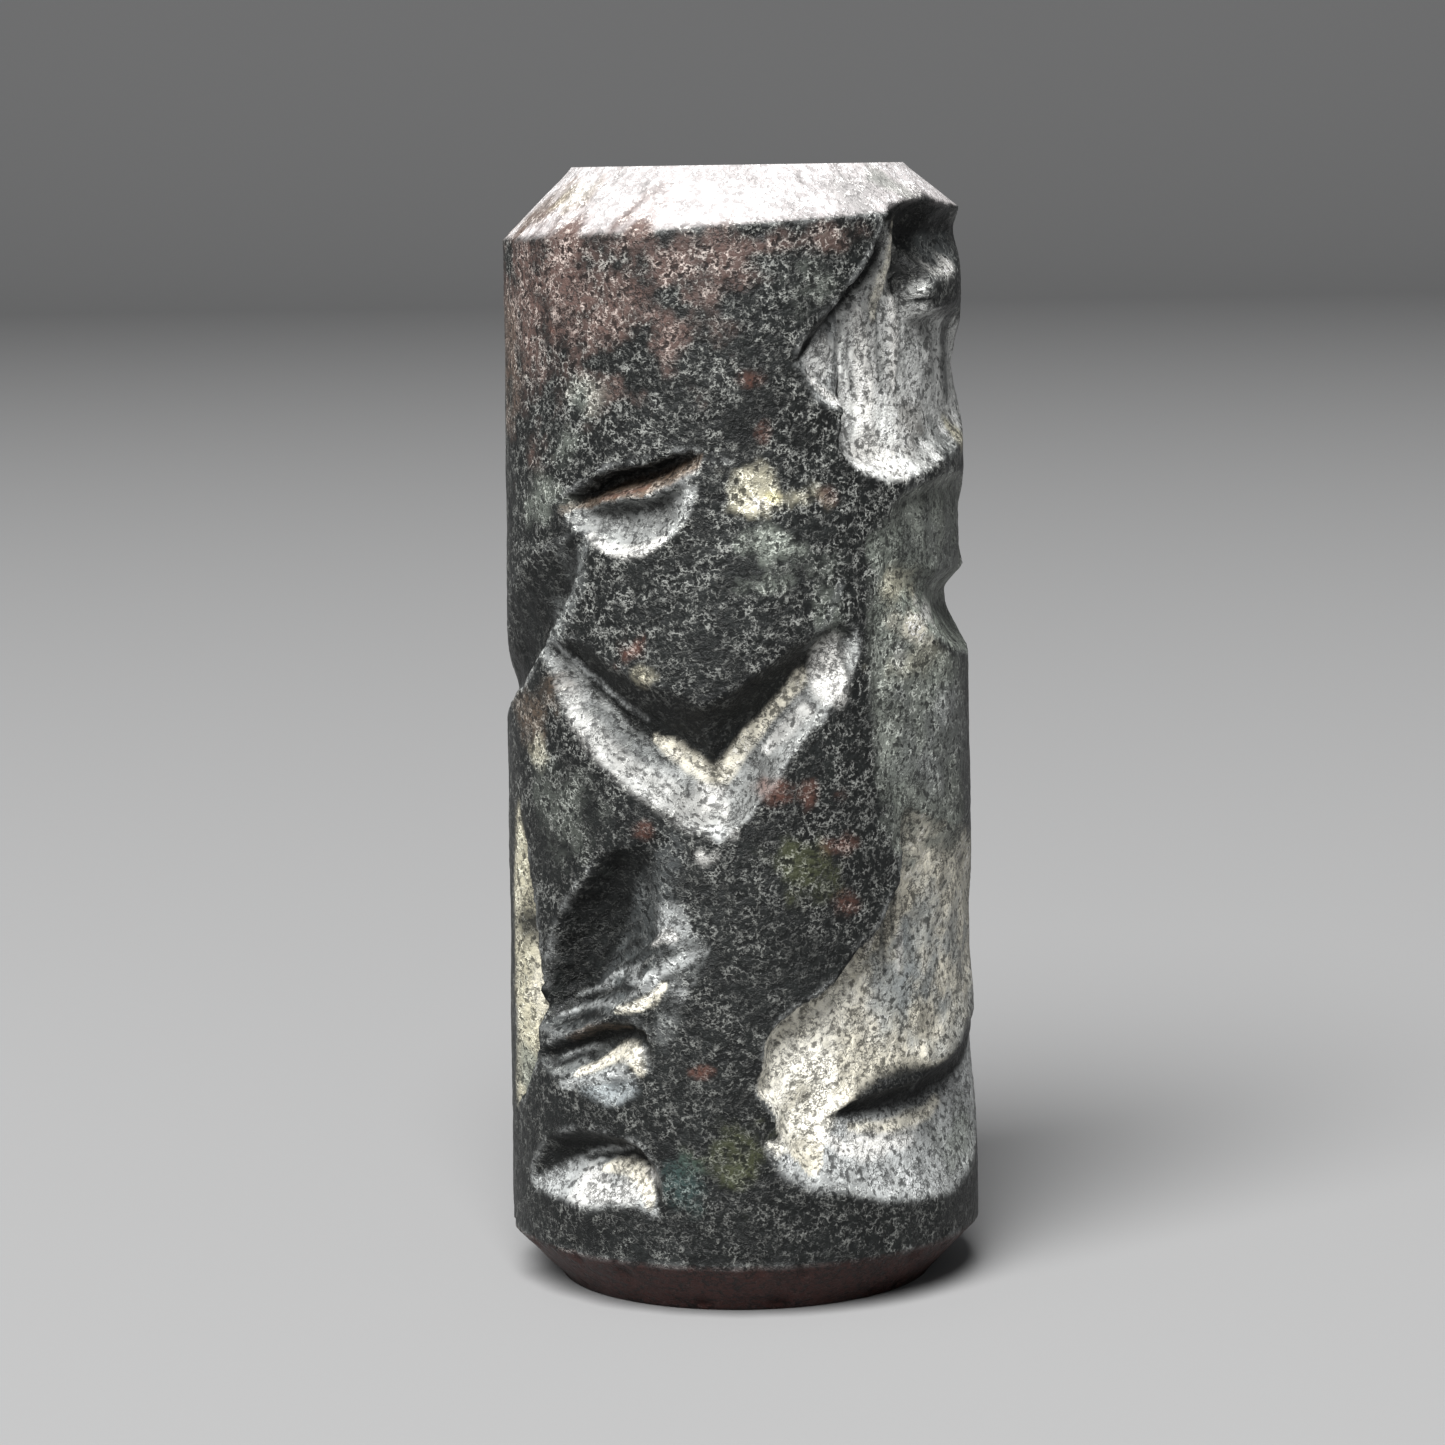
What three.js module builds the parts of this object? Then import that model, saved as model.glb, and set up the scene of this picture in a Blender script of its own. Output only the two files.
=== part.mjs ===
// A cylinder seal of dark stone: a short, slightly tapering cylinder with a bevel round each end, bored
// lengthwise for a cord, and deeply cut all round with the picture that it rolls out in clay.
// Millimetres, +Z up. The origin is the middle of the base, and the best preserved face looks along -Y.
import * as THREE from "three";

// Driving sizes.
const HEIGHT = 25.2;
const TOP_DIAMETER = 10.24;
const MIDDLE_DIAMETER = 10.68;
const BASE_DIAMETER = 10.8;
const WIDEST_SHARE = 0.5; // of the height, where the wall is MIDDLE_DIAMETER across
const TOP_BEVEL = 1.4; // how far the top bevel comes in
const TOP_BEVEL_DROP = 1.3; // how far down the wall it reaches
const TOP_RIM_LIFT = 0.3; // how much lower it reaches on the left, and higher on the right
const TOP_SHIFT = 0.16; // the flat top lies this far to the right of the middle
const BASE_BEVEL = 1.15;
const BASE_BEVEL_RISE = 1.2;
const BORE_DIAMETER = 2.1; // in the middle, where the two drillings meet
const BORE_MOUTH_DIAMETER = 2.7;

// The faceted mesh: columns round the seal, and rows up each stretch of its profile.
const COLUMNS = 84;
const FRONT_CROWDING = 0.28; // how much closer the columns stand in front, and wider apart behind
const WALL_ROWS = 52;
const BEVEL_ROWS = 2;
const LEVEL_SLACK = 0.03; // a facet's diagonal is changed only where it gains more than this

// Heights, widths and depths in the two lists below are millimetres on a seal this tall. They keep their
// share of the seal's height.
const CARVED_HEIGHT = 25.2;
const CARVING_SCALE = HEIGHT / CARVED_HEIGHT;

// A stroke is cut along a path. Each point is [degrees round, height, width above, width below, depth],
// where above and below are the two sides of a path that runs to the right. A side with a steep wall drops
// at once from its edge. A round stroke narrows to nothing at both ends. The carving behind, from the
// robe's head to the beast's horn, is a guess in keeping with the face.
const STROKES = {
  crown_notch: {
    path: [
      [47, 23.9, 0.5, 0.6, 0.5], [56, 23.7, 0.8, 1.05, 0.85], [66, 23.6, 0.85, 1.15, 0.75],
      [80, 23.7, 0.55, 1.1, 0.3], [102, 23.6, 0.3, 0.5, 0.05],
    ],
    steep: "above",
  },
  eye: {
    path: [
      [-46, 17.9, 0.2, 0.3, 0.2], [-36, 18.15, 0.3, 1.0, 0.7], [-24, 18.4, 0.3, 1.45, 0.75],
      [-10, 18.9, 0.2, 0.5, 0.3],
    ],
    steep: "below",
  },
  shoulder: {
    path: [
      [-106, 13.3, 0.8, 0.5, 0.1], [-90, 13.5, 1.2, 0.7, 0.42], [-76, 13.9, 1.9, 0.6, 0.65],
      [-62, 14.7, 2.2, 0.5, 0.75], [-50, 15.95, 1.5, 0.45, 0.6], [-41, 17.1, 0.5, 0.35, 0.2],
    ],
  },
  chevron: {
    path: [
      [-55, 14.8, 0.25, 0.3, 0.1], [-30, 12.95, 1.5, 0.85, 0.85], [-6, 11.9, 1.8, 1.2, 1.1],
      [10, 13.45, 1.1, 0.85, 0.85], [26, 14.85, 0.55, 0.6, 0.35],
    ],
    steep: "below",
  },
  haunch: {
    path: [
      [-59, 6.1, 0.4, 0.3, 0.25], [-43, 7.6, 1.2, 1.7, 0.95], [-33, 9.0, 1.2, 2.3, 0.9],
      [-20, 10.5, 0.5, 1.2, 0.25],
    ],
    steep: "above",
  },
  knee: {
    path: [
      [-56, 5.5, 0.3, 0.3, 0.3], [-38, 6.05, 0.5, 0.9, 0.75], [-30, 6.25, 0.45, 0.85, 0.7],
      [-23, 5.9, 0.3, 0.3, 0.15],
    ],
  },
  hoof: {
    path: [
      [-61, 2.8, 0.3, 0.4, 0.2], [-44, 3.45, 0.65, 1.3, 0.75], [-33, 3.5, 0.6, 1.3, 0.8],
      [-22, 2.7, 0.3, 0.4, 0.15],
    ],
  },
  left_flank: {
    path: [
      [-68, 4.8, 1.1, 0.4, 0.25], [-61, 6.8, 1.8, 0.4, 0.6], [-66, 9.0, 1.5, 0.4, 0.5],
      [-68, 10.6, 0.5, 0.3, 0.1],
    ],
    steep: "below",
  },
  foot: {
    path: [
      [17, 4.2, 0.3, 0.9, 0.5], [32, 4.35, 0.6, 2.1, 0.9], [46, 4.35, 0.75, 2.25, 0.95],
      [58, 4.35, 0.85, 2.25, 0.9], [70, 4.5, 0.95, 2.2, 0.65], [80, 4.8, 1.0, 2.0, 0.35],
      [90, 5.15, 0.8, 1.5, 0.2], [102, 5.4, 0.4, 0.6, 0.05],
    ],
  },
  right_waist: {
    path: [
      [38, 16.9, 0.6, 0.5, 0.15], [60, 15.9, 0.9, 1.3, 0.55], [88, 15.5, 0.9, 1.4, 0.8],
      [110, 15.4, 0.5, 0.8, 0.2],
    ],
  },
  robe_head: {
    path: [[148, 20.9, 0.9, 0.9, 0.8], [150, 19.7, 0.9, 0.9, 0.8], [152, 18.5, 0.9, 0.9, 0.8]],
    round: true,
  },
  robe_chest: {
    path: [[151, 18.4, 1.5, 1.5, 0.7], [151, 15.6, 1.6, 1.6, 0.75], [151, 12.6, 1.1, 1.1, 0.6]],
    round: true,
  },
  robe_arm: {
    path: [[146, 16.6, 0.8, 0.8, 0.7], [132, 16.2, 0.7, 0.7, 0.6], [122, 17.8, 0.6, 0.6, 0.5]],
  },
  robe_skirt: {
    path: [[151, 13.4, 0.9, 0.9, 0.5], [150, 8, 1.5, 1.5, 0.6], [149, 3.4, 2.1, 2.1, 0.6]],
  },
  star: { path: [[182, 21.6, 1.1, 1.1, 0.7], [192, 21.6, 1.1, 1.1, 0.7]], round: true },
  beast_body: {
    path: [[192, 8.6, 1.5, 1.5, 0.85], [215, 9.2, 1.2, 1.4, 0.85], [240, 10.6, 1.5, 1.5, 0.85]],
    round: true,
  },
  beast_hind: {
    path: [[198, 8.2, 0.9, 0.9, 0.7], [195, 5.6, 0.7, 0.7, 0.6], [201, 3.2, 0.6, 0.6, 0.4]],
  },
  beast_fore: {
    path: [[231, 8.8, 0.8, 0.8, 0.6], [236, 6.2, 0.6, 0.6, 0.5], [230, 3.6, 0.6, 0.6, 0.4]],
  },
  beast_neck: {
    path: [[234, 11.2, 1.0, 1.0, 0.7], [236, 13.6, 0.7, 0.7, 0.6], [229, 15.2, 0.8, 0.8, 0.6]],
  },
  beast_horn: {
    path: [[198, 15.6, 0.4, 0.4, 0.3], [214, 17.4, 0.55, 0.55, 0.5], [230, 15.6, 0.5, 0.5, 0.5]],
  },
};

// A hollow is a sunk area. Each corner is [degrees round, height, width of the wall beside it, depth of
// the floor beyond that wall], anticlockwise or clockwise.
const HOLLOWS = {
  upper_right: [
    [44, 24.2, 0.3, 0.8], [35, 23.0, 0.3, 0.85], [28, 22.1, 0.3, 0.75], [27, 18.9, 0.3, 0.75],
    [37, 18.35, 0.8, 0.7], [62, 18.6, 0.7, 0.5], [80, 19.0, 0.6, 0.4], [98, 19.5, 0.8, 0.15],
    [108, 20.6, 0.8, 0.06], [96, 21.6, 0.8, 0.2], [80, 22.0, 0.5, 0.4], [60, 22.1, 0.4, 0.7], [55, 23.9, 0.3, 0.8],
  ],
  upper_step: [
    [32, 22.6, 0.3, 0.65], [15, 21.2, 0.4, 0.25], [18, 20.2, 0.6, 0.3], [32, 20.1, 0.3, 0.65],
  ],
  right_hip: [
    [42, 18.1, 0.5, 0.3], [80, 18.4, 0.5, 0.35], [98, 18.0, 0.8, 0.12], [108, 17.0, 0.8, 0.06],
    [98, 15.9, 0.8, 0.15], [80, 15.6, 0.7, 0.4], [37, 16.4, 0.6, 0.2],
  ],
  right_side: [
    [33, 16.6, 0.5, 0.12], [33, 13.0, 0.4, 0.18], [39, 11.3, 0.35, 0.25], [40, 10.2, 0.35, 0.3],
    [60, 10.0, 0.8, 0.2], [78, 10.5, 0.8, 0.04], [80, 13.8, 0.8, 0.04], [44, 16.4, 0.8, 0.15],
  ],
  skirt: [
    [46, 11.2, 0.3, 0.25], [41, 9.4, 0.3, 0.7], [28, 8.1, 0.3, 0.85], [13, 6.95, 0.3, 0.8],
    [5, 6.4, 0.3, 0.7], [2.5, 5.2, 0.4, 0.6], [8.5, 4.1, 0.5, 0.75], [17, 3.1, 0.6, 0.8],
    [30, 4.3, 0.6, 0.75], [45, 4.5, 1.8, 0.65], [60, 4.55, 2.2, 0.55], [72, 4.9, 2.0, 0.35],
    [85, 5.5, 1.5, 0.18], [98, 6.6, 1.2, 0.08], [102, 8.0, 1.2, 0.06], [90, 9.9, 1.0, 0.1],
    [72, 10.6, 0.8, 0.15],
  ],
};

const MIDDLE_RADIUS = MIDDLE_DIAMETER / 2;
const mix = (a, b, t) => a + (b - a) * t;
const clamp01 = (t) => Math.min(1, Math.max(0, t));

// Across a cut, t is 0 at its edge and 1 at its bottom.
const roundBottom = (t) => t * (1.5 - 0.5 * t * t);
const steepWall = (t) => 1 - (1 - t) ** 3;

// The way from one place on the wall to another, as [arc, rise] in carving millimetres.
function step(from, to) {
  const turn = ((to[0] - from[0] + 540) % 360) - 180;
  return [(turn * Math.PI * MIDDLE_RADIUS) / 180 / CARVING_SCALE, to[1] - from[1]];
}

// Where a place lies beside the stretch from a to b: the share along it, the distance, and which side.
function beside(place, a, b) {
  const [runX, runY] = step(a, b);
  const [x, y] = step(a, place);
  const along = clamp01((x * runX + y * runY) / (runX * runX + runY * runY));
  return {
    along,
    distance: Math.hypot(x - along * runX, y - along * runY),
    above: runX * y - runY * x > 0,
  };
}

function strokeDepth(stroke, place) {
  const { path } = stroke;
  const stretches = path.length - 1;
  let deepest = 0;
  for (let i = 0; i < stretches; i++) {
    const { along, distance, above } = beside(place, path[i], path[i + 1]);
    const side = above ? 2 : 3;
    const share = (i + along) / stretches;
    const taper = stroke.round ? Math.sqrt(Math.max(0, 1 - (2 * share - 1) ** 2)) : 1;
    const width = mix(path[i][side], path[i + 1][side], along) * taper;
    const t = 1 - distance / Math.max(width, 1e-6);
    if (t <= 0) continue;
    const depth = mix(path[i][4], path[i + 1][4], along) * taper;
    const wall = stroke.steep === (above ? "above" : "below") ? steepWall : roundBottom;
    deepest = Math.max(deepest, depth * wall(t));
  }
  return deepest;
}

function hollowDepth(corners, place) {
  const [x, y] = step(corners[0], place);
  let inside = false;
  let nearest = Infinity;
  let weights = 0;
  let wall = 0;
  let floor = 0;
  corners.forEach((corner, i) => {
    const next = corners[(i + 1) % corners.length];
    const [x0, y0] = step(corners[0], corner);
    const [x1, y1] = step(corners[0], next);
    if (y0 > y !== y1 > y && x0 + ((x1 - x0) * (y - y0)) / (y1 - y0) > x) inside = !inside;
    const { along, distance } = beside(place, corner, next);
    const weight = 1 / (distance * distance + 1e-6);
    nearest = Math.min(nearest, distance);
    weights += weight;
    wall += weight * mix(corner[2], next[2], along);
    floor += weight * mix(corner[3], next[3], along);
  });
  return inside ? (floor / weights) * roundBottom(clamp01(nearest / (wall / weights))) : 0;
}

// How deep the carving is at a place on the wall, in millimetres.
function carvedDepth(degrees, height) {
  const place = [degrees, height / CARVING_SCALE];
  const cuts = [
    ...Object.values(STROKES).map((stroke) => strokeDepth(stroke, place)),
    ...Object.values(HOLLOWS).map((corners) => hollowDepth(corners, place)),
  ];
  return Math.max(...cuts) * CARVING_SCALE;
}

function wallRadius(height) {
  const widest = HEIGHT * WIDEST_SHARE;
  return height > widest
    ? mix(MIDDLE_DIAMETER, TOP_DIAMETER, (height - widest) / (HEIGHT - widest)) / 2
    : mix(BASE_DIAMETER, MIDDLE_DIAMETER, height / widest) / 2;
}

// Points from one place of the profile towards the next, without the last.
function stretch(from, to, rows) {
  return Array.from({ length: rows }, (_, i) => from.clone().lerp(to, i / rows));
}

// The seal's closed half section: base, base bevel, wall, top bevel, top and bore.
function sealProfile() {
  const topRim = HEIGHT - TOP_BEVEL_DROP;
  const corners = [
    [BORE_MOUTH_DIAMETER / 2, 0, 1],
    [BASE_DIAMETER / 2 - BASE_BEVEL, 0, BEVEL_ROWS],
    [wallRadius(BASE_BEVEL_RISE), BASE_BEVEL_RISE, WALL_ROWS],
    [wallRadius(topRim), topRim, BEVEL_ROWS],
    [TOP_DIAMETER / 2 - TOP_BEVEL, HEIGHT, 1],
    [BORE_MOUTH_DIAMETER / 2, HEIGHT, 1],
    [BORE_DIAMETER / 2, HEIGHT / 2, 1],
  ];
  const points = corners.flatMap(([radius, height, rows], i) => {
    const next = corners[(i + 1) % corners.length];
    return stretch(new THREE.Vector2(radius, height), new THREE.Vector2(next[0], next[1]), rows);
  });
  return [...points, points[0].clone()];
}

// Each four-sided facet is split along the diagonal that follows the edge of a cut.
function splitAlongCuts(geometry, rows) {
  const position = geometry.getAttribute("position");
  const radius = (i) => Math.hypot(position.getX(i), position.getY(i));
  const index = [];
  for (let column = 0; column < COLUMNS; column++) {
    for (let row = 0; row < rows - 1; row++) {
      const a = column * rows + row;
      const b = a + rows;
      const c = b + 1;
      const d = a + 1;
      const level = Math.abs(radius(a) - radius(c)) + LEVEL_SLACK < Math.abs(radius(b) - radius(d));
      index.push(...(level ? [a, b, c, c, d, a] : [a, b, d, c, d, b]));
    }
  }
  geometry.setIndex(index);
}

// The blank is turned, its top bevel tilted, and the carving cut in from the side.
function sealGeometry() {
  const profile = sealProfile();
  const geometry = new THREE.LatheGeometry(profile, COLUMNS);
  geometry.rotateX(Math.PI / 2);
  const position = geometry.getAttribute("position");
  const topRim = HEIGHT - TOP_BEVEL_DROP;
  for (let i = 0; i < position.count; i++) {
    const z = position.getZ(i);
    const radius = Math.hypot(position.getX(i), position.getY(i));
    if (radius <= BORE_MOUTH_DIAMETER / 2 + 1e-6) continue;
    const turned = Math.atan2(position.getX(i), -position.getY(i));
    const around = turned - FRONT_CROWDING * Math.sin(turned);
    const tilt = z > topRim ? (HEIGHT - z) / TOP_BEVEL_DROP : (z / topRim) ** 4;
    const height = z + tilt * TOP_RIM_LIFT * Math.sin(around);
    const shift = TOP_SHIFT * clamp01((z - topRim) / TOP_BEVEL_DROP);
    const floor = wallRadius(height) - carvedDepth(THREE.MathUtils.radToDeg(around), height);
    const cut = Math.min(radius, floor);
    position.setXYZ(i, cut * Math.sin(around) + shift, -cut * Math.cos(around), height);
  }
  splitAlongCuts(geometry, profile.length);
  geometry.computeVertexNormals();
  return geometry;
}

const stone = new THREE.MeshStandardMaterial({ color: 0x2b2c2a, roughness: 0.6, metalness: 0.0 });

const seal = new THREE.Group();
const body = new THREE.Mesh(sealGeometry(), stone);
body.name = "cylinder_seal";
seal.add(body);

export default seal;
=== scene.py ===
"""A carved cylinder seal of dark stone, standing on its flat base.

The seal replaces its solid with a finer mesh of the same form: the same blank and the same cuts, with the
edges, tool marks, chips and grain that the solid leaves out. Heights, widths and depths in the lists are
millimetres on a seal CARVED_HEIGHT tall; they are scaled to the seal's own box.
"""
import math

import bpy
import numpy as np
from mathutils import Matrix, Vector


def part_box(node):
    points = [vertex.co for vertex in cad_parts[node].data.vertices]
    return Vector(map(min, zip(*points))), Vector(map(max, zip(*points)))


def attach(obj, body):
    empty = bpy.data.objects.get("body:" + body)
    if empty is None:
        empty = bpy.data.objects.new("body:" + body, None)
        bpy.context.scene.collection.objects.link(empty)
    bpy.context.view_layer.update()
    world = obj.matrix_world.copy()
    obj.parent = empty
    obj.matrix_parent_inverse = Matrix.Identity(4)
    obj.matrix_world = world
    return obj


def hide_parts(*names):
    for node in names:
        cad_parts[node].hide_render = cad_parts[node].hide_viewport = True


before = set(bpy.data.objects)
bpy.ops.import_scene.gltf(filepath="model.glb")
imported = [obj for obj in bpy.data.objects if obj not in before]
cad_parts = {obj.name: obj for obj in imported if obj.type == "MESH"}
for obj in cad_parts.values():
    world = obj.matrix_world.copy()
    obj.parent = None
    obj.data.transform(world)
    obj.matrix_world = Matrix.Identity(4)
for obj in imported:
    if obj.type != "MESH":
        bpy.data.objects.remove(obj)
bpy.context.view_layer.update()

NODE = "cylinder_seal"
MM = 0.001

# The blank, as shares of the solid's own box.
low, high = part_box(NODE)
HEIGHT = (high[2] - low[2]) / MM
BASE_DIAMETER = (high[0] - low[0]) / MM
MIDDLE_RADIUS = 0.989 * BASE_DIAMETER / 2
TOP_RADIUS = 0.948 * BASE_DIAMETER / 2
BASE_RADIUS = BASE_DIAMETER / 2
CARVED_HEIGHT = 25.2
SCALE = HEIGHT / CARVED_HEIGHT
TOP_BEVEL = 1.4 * SCALE
TOP_BEVEL_DROP = 1.3 * SCALE
TOP_RIM = HEIGHT - TOP_BEVEL_DROP
TOP_RIM_LIFT = 0.3 * SCALE
TOP_SHIFT = 0.16 * SCALE
BASE_BEVEL = 1.15 * SCALE
BASE_BEVEL_RISE = 1.2 * SCALE
BORE_RADIUS = 1.05 * SCALE
BORE_MOUTH_RADIUS = 1.35 * SCALE

# The mesh: columns round the seal, crowded together in front, and rows up each stretch of its profile.
COLUMNS = 300
FRONT_CROWDING = 0.5
WALL_ROWS = 266
BASE_BEVEL_ROWS = 13
TOP_BEVEL_ROWS = 16
DISC_ROWS = 7
BORE_ROWS = 4

# Cuts made along a path. Each point is (degrees round, height, width above, width below, depth), where
# above and below are the two sides of a path that runs to the right. The profile of each side is keen
# (a straight wall), round (a scooped wall), steep (a wall that drops at once) or soft (a rolled edge).
# Each side has a colour of its own, from COLOURS: mostly dark skin on the upper side, which faces down, and a
# paler colour below, which faces up and is partly the cut stone's own colour and partly painted light; the
# black of the crown notch is painted shade.
STROKES = {
    "crown_notch": dict(
        path=[(47, 23.9, 0.5, 0.6, 0.5), (54, 23.7, 0.8, 1.0, 0.85), (62, 23.6, 0.9, 1.1, 0.85),
              (72, 23.65, 0.7, 1.2, 0.5), (84, 23.7, 0.5, 1.0, 0.25), (100, 23.6, 0.3, 0.5, 0.05)],
        above=("steep", "black"), below=("soft", "dusk")),
    "eye_slit": dict(
        path=[(-46, 17.95, 0.15, 0.3, 0.2), (-41, 18.05, 0.2, 0.4, 0.6), (-33, 18.38, 0.25, 0.5, 0.85),
              (-24, 18.55, 0.25, 0.5, 0.85), (-16, 18.75, 0.22, 0.45, 0.65), (-10, 19.0, 0.15, 0.3, 0.3)],
        above=("steep", "skin"), below=("keen", "umber")),
    "eye_cup": dict(
        path=[(-45, 17.7, 0.2, 0.15, 0.15), (-38, 17.75, 0.3, 0.6, 0.45), (-31, 17.75, 0.4, 0.85, 0.6),
              (-24, 17.8, 0.4, 0.9, 0.6), (-17, 17.95, 0.35, 0.7, 0.45), (-11, 18.3, 0.2, 0.3, 0.1)],
        above=("soft", "ash"), below=("round", "silver")),
    "shoulder": dict(
        path=[(-106, 13.3, 0.8, 0.5, 0.1), (-90, 13.5, 1.2, 0.7, 0.42), (-76, 13.9, 1.9, 0.6, 0.65),
              (-62, 14.7, 2.2, 0.5, 0.75), (-50, 15.95, 1.5, 0.45, 0.6), (-41, 17.1, 0.5, 0.35, 0.2)],
        above=("soft", "skin"), below=("round", "slate")),
    "chevron": dict(
        path=[(-55, 14.9, 0.25, 0.3, 0.1), (-46, 14.15, 1.1, 0.55, 0.55), (-30, 12.95, 1.5, 0.8, 0.85),
              (-6, 11.9, 1.8, 1.05, 1.1), (10, 13.45, 1.1, 0.8, 0.85), (19, 14.3, 0.85, 0.75, 0.7),
              (26, 14.85, 0.55, 0.5, 0.35)],
        above=("round", "skin"), below=("steep", "silver"), angular=True),
    "chevron_tip": dict(
        path=[(-6, 12.0, 0.8, 0.8, 0.9), (-5.5, 11.2, 0.5, 0.5, 0.6), (-5, 10.7, 0.15, 0.15, 0.1)],
        above=("keen", "grey"), below=("keen", "grey")),
    "haunch": dict(
        path=[(-57, 6.3, 0.3, 0.25, 0.15), (-51, 6.7, 0.8, 0.9, 0.75), (-43, 7.6, 1.2, 1.7, 0.95),
              (-36, 8.6, 1.2, 2.0, 0.95), (-29, 9.6, 0.9, 1.6, 0.7), (-21, 10.4, 0.5, 0.9, 0.2)],
        above=("steep", "skin"), below=("soft", "dusk")),
    "knee": dict(
        path=[(-56, 5.5, 0.3, 0.3, 0.3), (-47, 5.75, 0.4, 0.6, 0.5), (-38, 6.05, 0.45, 0.85, 0.75),
              (-31, 6.25, 0.4, 0.85, 0.7), (-26, 6.2, 0.35, 0.6, 0.45), (-23.5, 5.9, 0.2, 0.3, 0.1)],
        above=("round", "skin"), below=("round", "slate")),
    "knee_facet": dict(
        path=[(-40, 5.15, 0.4, 0.5, 0.10), (-34, 5.15, 0.5, 0.6, 0.2), (-29, 5.15, 0.4, 0.4, 0.12)],
        above=("soft", "blue"), below=("soft", "blue")),
    "hoof": dict(
        path=[(-61, 2.8, 0.3, 0.4, 0.2), (-52, 3.2, 0.6, 0.9, 0.55), (-44, 3.45, 0.6, 1.3, 0.75),
              (-36, 3.55, 0.55, 1.35, 0.8), (-29, 3.4, 0.5, 1.15, 0.7), (-24, 3.0, 0.4, 0.7, 0.4),
              (-21.5, 2.6, 0.2, 0.3, 0.1)],
        above=("round", "skin"), below=("round", "grey")),
    "left_flank": dict(
        path=[(-70, 4.6, 0.8, 0.3, 0.15), (-64, 5.6, 1.3, 0.35, 0.4), (-61, 6.8, 1.7, 0.35, 0.5),
              (-63, 8.2, 1.6, 0.35, 0.5), (-67, 9.6, 1.2, 0.3, 0.3), (-69, 10.8, 0.5, 0.3, 0.1)],
        above=("soft", "sand"), below=("steep", "skin")),
    "foot": dict(
        path=[(17, 4.2, 0.3, 1.1, 0.5), (24, 4.3, 0.35, 1.6, 0.75), (32, 4.35, 0.6, 2.1, 0.9),
              (46, 4.35, 0.75, 2.25, 0.95), (58, 4.35, 0.85, 2.25, 0.9), (70, 4.5, 0.95, 2.2, 0.65),
              (80, 4.8, 1.0, 2.0, 0.35), (90, 5.15, 0.8, 1.5, 0.2), (102, 5.4, 0.4, 0.6, 0.05)],
        above=("round", "skin"), below=("keen", "grey")),
    "pleat": dict(
        path=[(43, 10.6, 0.12, 0.12, 0.05), (43, 9.4, 0.2, 0.3, 0.2), (44, 8.3, 0.2, 0.3, 0.18),
              (46, 7.2, 0.12, 0.15, 0.05)],
        above=("keen", "skin"), below=("keen", "slate"), adds=True),
    "right_waist": dict(
        path=[(38, 16.9, 0.6, 0.5, 0.15), (50, 16.1, 0.9, 1.0, 0.4), (62, 15.85, 0.9, 1.3, 0.55),
              (88, 15.5, 0.9, 1.4, 0.8), (110, 15.4, 0.5, 0.8, 0.2)],
        above=("soft", "sage"), below=("round", "sage")),
    "robe_head": dict(
        path=[(148, 20.9, 0.9, 0.9, 0.8), (150, 19.7, 0.9, 0.9, 0.8), (152, 18.5, 0.9, 0.9, 0.8)],
        above=("round", "grey"), below=("round", "grey"), tapers=True),
    "robe_chest": dict(
        path=[(151, 18.4, 1.5, 1.5, 0.7), (151, 15.6, 1.6, 1.6, 0.75), (151, 12.6, 1.1, 1.1, 0.6)],
        above=("round", "grey"), below=("round", "grey"), tapers=True),
    "robe_arm": dict(
        path=[(122, 17.8, 0.6, 0.6, 0.5), (132, 16.2, 0.7, 0.7, 0.6), (146, 16.6, 0.8, 0.8, 0.7)],
        above=("keen", "skin"), below=("keen", "grey")),
    "robe_skirt": dict(
        path=[(151, 13.4, 0.9, 0.9, 0.5), (150, 8, 1.5, 1.5, 0.6), (149, 3.4, 2.1, 2.1, 0.6)],
        above=("round", "grey"), below=("round", "grey")),
    "star": dict(
        path=[(182, 21.6, 1.1, 1.1, 0.7), (192, 21.6, 1.1, 1.1, 0.7)],
        above=("round", "skin"), below=("round", "grey"), tapers=True),
    "beast_body": dict(
        path=[(192, 8.6, 1.5, 1.5, 0.85), (215, 9.2, 1.2, 1.4, 0.85), (240, 10.6, 1.5, 1.5, 0.85)],
        above=("round", "skin"), below=("round", "grey"), tapers=True),
    "beast_hind": dict(
        path=[(198, 8.2, 0.9, 0.9, 0.7), (195, 5.6, 0.7, 0.7, 0.6), (201, 3.2, 0.6, 0.6, 0.4)],
        above=("keen", "grey"), below=("keen", "grey")),
    "beast_fore": dict(
        path=[(231, 8.8, 0.8, 0.8, 0.6), (236, 6.2, 0.6, 0.6, 0.5), (230, 3.6, 0.6, 0.6, 0.4)],
        above=("keen", "grey"), below=("keen", "grey")),
    "beast_neck": dict(
        path=[(234, 11.2, 1.0, 1.0, 0.7), (236, 13.6, 0.7, 0.7, 0.6), (229, 15.2, 0.8, 0.8, 0.6)],
        above=("keen", "grey"), below=("keen", "grey")),
    "beast_horn": dict(
        path=[(198, 15.6, 0.4, 0.4, 0.3), (214, 17.4, 0.55, 0.55, 0.5), (230, 15.6, 0.5, 0.5, 0.5)],
        above=("keen", "skin"), below=("keen", "grey")),
}

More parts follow.
